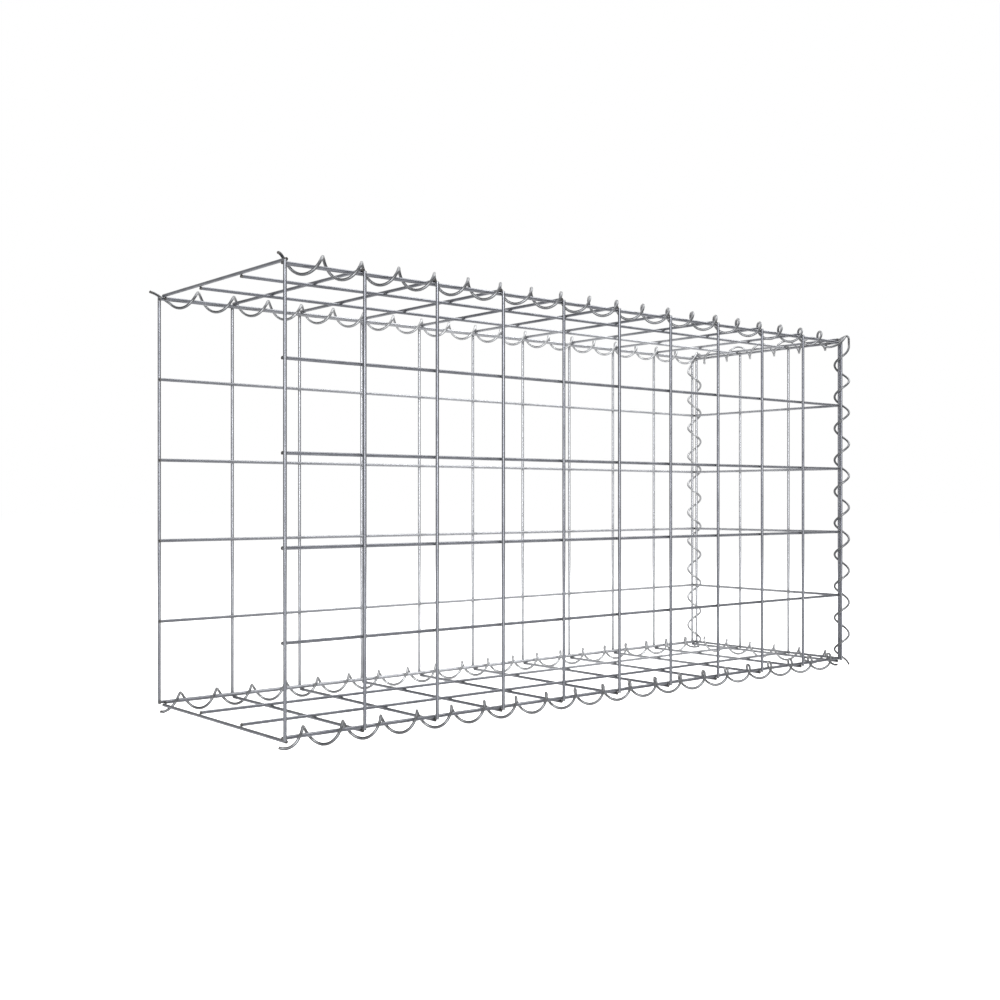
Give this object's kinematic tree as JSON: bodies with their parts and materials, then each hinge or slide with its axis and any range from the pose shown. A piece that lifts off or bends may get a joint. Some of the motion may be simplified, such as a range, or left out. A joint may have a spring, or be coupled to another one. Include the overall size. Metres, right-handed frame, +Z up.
{
  "type": "gabion basket",
  "caption": "Empty welded-mesh gabion basket for a stone-filled wall, open at one end to join the next bay, its panels laced at the edges by spiral wires.",
  "frame": {"origin": "middle of the basket's footprint, on the ground under the lowest turns of the bottom spirals", "axes": "+X along the basket from its open end to its closed end, +Y from the front panel to the back panel, +Z up"},
  "size_m": [1.0298, 0.3306, 0.5296],
  "materials": {
    "panel_wire": "galvanised, satin grey with fine drawing lines",
    "spiral_wire": "galvanised, satin grey, a little brighter than the panels"
  },
  "bodies": {
    "root": {"front_panel": "panel_wire", "back_panel": "panel_wire", "top_panel": "panel_wire", "bottom_panel": "panel_wire", "end_panel": "panel_wire", "spiral_top_front": "spiral_wire", "spiral_top_back": "spiral_wire", "spiral_bottom_front": "spiral_wire", "spiral_bottom_back": "spiral_wire", "spiral_end_front": "spiral_wire", "spiral_end_back": "spiral_wire", "spiral_end_top": "spiral_wire", "spiral_end_bottom": "spiral_wire"}
  },
  "joints": []
}
